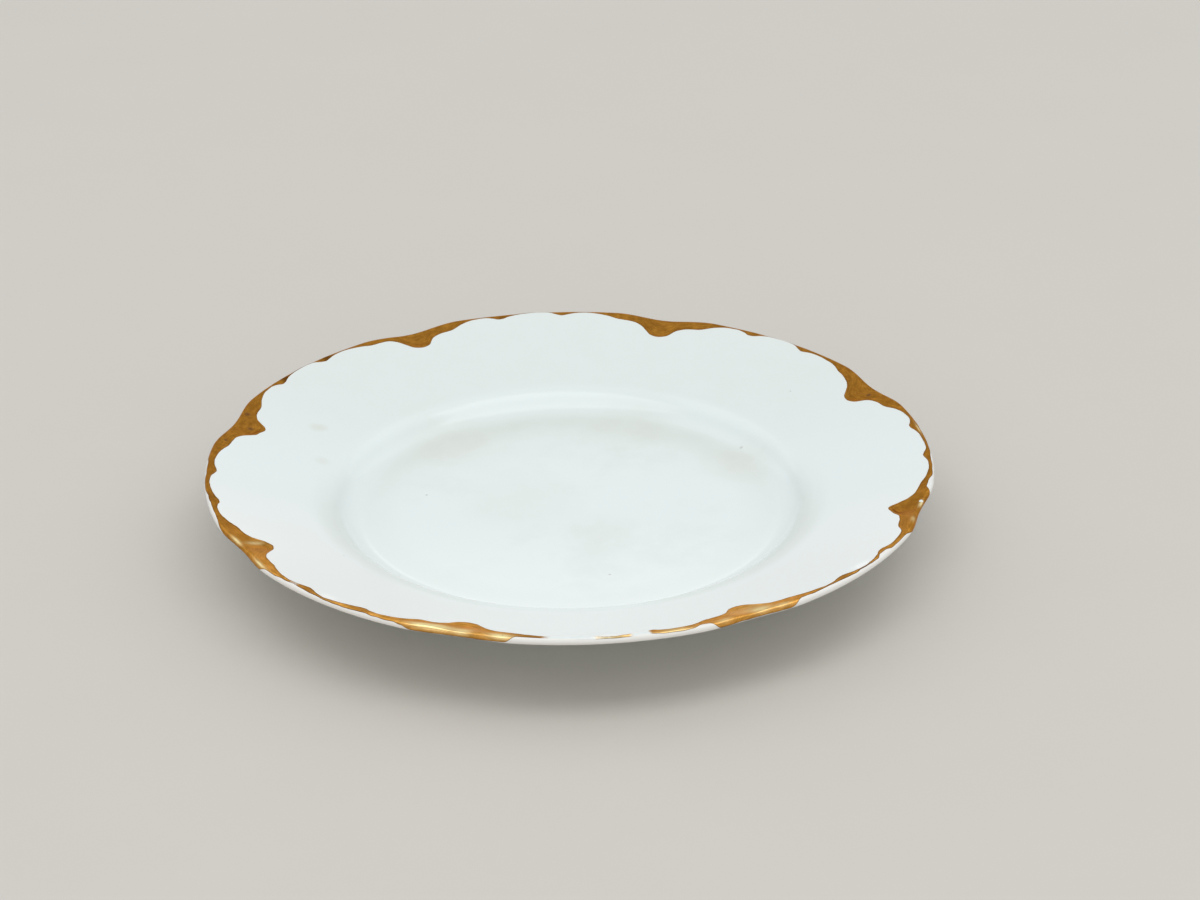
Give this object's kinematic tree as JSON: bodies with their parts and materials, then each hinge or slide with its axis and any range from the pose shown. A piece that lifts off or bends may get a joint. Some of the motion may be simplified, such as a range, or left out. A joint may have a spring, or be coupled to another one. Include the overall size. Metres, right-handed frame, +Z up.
{
  "type": "scalloped dessert plate",
  "caption": "Round white porcelain dessert plate with a scalloped, gilt edge, a broad sloping rim, a shallow well and a foot ring.",
  "frame": {"origin": "centre of the foot ring's bearing face, at the height of the table", "axes": "+Z up along the plate's axis, -Y towards the viewer of the picture"},
  "size_m": [0.196, 0.196, 0.0228],
  "materials": {
    "white_glaze": "glossy clear glaze on hard white porcelain",
    "foot_biscuit": "glazed sides, matt unglazed bearing face",
    "gilding": "burnished gold fired on the glaze, lightly worn"
  },
  "bodies": {
    "root": {"porcelain_body": "white_glaze", "foot_ring": "foot_biscuit", "gilt_notch_1": "gilding", "gilt_notch_2": "gilding", "gilt_notch_3": "gilding", "gilt_notch_4": "gilding", "gilt_notch_5": "gilding", "gilt_notch_6": "gilding", "gilt_notch_7": "gilding", "gilt_notch_8": "gilding", "gilt_line_1": "gilding", "gilt_line_2": "gilding", "gilt_line_3": "gilding", "gilt_line_4": "gilding", "gilt_line_5": "gilding", "gilt_line_6": "gilding", "gilt_line_7": "gilding", "gilt_line_8": "gilding"}
  },
  "joints": []
}
